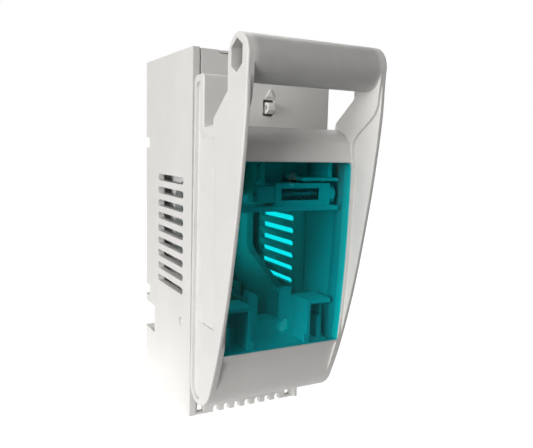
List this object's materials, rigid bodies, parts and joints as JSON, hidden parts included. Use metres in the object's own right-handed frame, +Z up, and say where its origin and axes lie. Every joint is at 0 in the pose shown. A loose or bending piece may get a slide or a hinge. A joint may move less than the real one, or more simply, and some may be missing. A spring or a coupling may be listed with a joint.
{
  "type": "fuse switch disconnector",
  "caption": "Single-pole fuse switch disconnector: open-ended moulded base, hinged lid with pull handle and tinted window, contact jaws, cable terminals and a sprung fuse latch.",
  "frame": {"origin": "centre of the base's flat back face, which bears on the mounting panel", "axes": "+X to the device's right, +Y out of the back into the mounting panel, +Z up along the fuse"},
  "size_m": [0.0558, 0.1118, 0.15],
  "materials": {
    "base_housing": "fine-textured moulded body, warm off-white",
    "left_barrier": "moulded",
    "right_barrier": "moulded",
    "line_busbar": "silver-plated copper",
    "load_busbar": "silver-plated copper",
    "line_jaw": "silver-plated copper",
    "load_jaw": "silver-plated copper",
    "line_jaw_springs": "spring steel",
    "load_jaw_springs": "spring steel",
    "line_arc_plates": "zinc-plated steel",
    "load_arc_plates": "zinc-plated steel",
    "line_arc_cheeks": "vulcanised fibre",
    "load_arc_cheeks": "vulcanised fibre",
    "terminal_screws": "zinc-plated steel",
    "terminal_washers": "zinc-plated steel",
    "terminal_nuts": "zinc-plated steel",
    "jaw_screws": "zinc-plated steel",
    "line_cover": "fine-textured moulded cover, warm off-white",
    "cover_snap": "moulded, warm off-white",
    "sealing_lug": "moulded, near white",
    "load_cover": "fine-textured moulded cover, warm off-white",
    "lid_frame": "fine-textured moulded lid, warm off-white",
    "rating_label": "blank self-adhesive film",
    "hinge_pins": "ground steel",
    "window": "clear teal polycarbonate",
    "upper_carrier": "moulded, off-white",
    "latch_guide_pin": "turned steel",
    "lower_carrier": "moulded, off-white",
    "latch_spring": "spring wire",
    "latch_slider": "moulded, off-white"
  },
  "bodies": {
    "base": {"base_housing": "base_housing", "left_barrier": "left_barrier", "right_barrier": "right_barrier", "line_busbar": "line_busbar", "load_busbar": "load_busbar", "line_jaw": "line_jaw", "load_jaw": "load_jaw", "line_jaw_springs": "line_jaw_springs", "load_jaw_springs": "load_jaw_springs", "line_arc_plates": "line_arc_plates", "load_arc_plates": "load_arc_plates", "line_arc_cheeks": "line_arc_cheeks", "load_arc_cheeks": "load_arc_cheeks", "terminal_screws": "terminal_screws", "terminal_washers": "terminal_washers", "terminal_nuts": "terminal_nuts", "jaw_screws": "jaw_screws", "line_cover": "line_cover", "cover_snap": "cover_snap", "sealing_lug": "sealing_lug", "load_cover": "load_cover"},
    "lid": {"lid_frame": "lid_frame", "rating_label": "rating_label", "hinge_pins": "hinge_pins", "window": "window", "upper_carrier": "upper_carrier", "latch_guide_pin": "latch_guide_pin", "lower_carrier": "lower_carrier", "latch_spring": "latch_spring"},
    "fuse_latch": {"latch_slider": "latch_slider"}
  },
  "joints": [
    {"name": "lid_hinge", "type": "hinge", "parent": "base", "child": "lid", "pos_m": [0, -0.0705, -0.0585], "axis": [1, 0, 0], "range_deg": [0, 85]},
    {"name": "fuse_latch_slide", "type": "slide", "parent": "lid", "child": "fuse_latch", "axis": [1, 0, 0], "range_m": [0, 0.0045], "stiffness_N_per_m": 300, "springref_m": -0.004, "deforming": ["latch_spring"]}
  ]
}
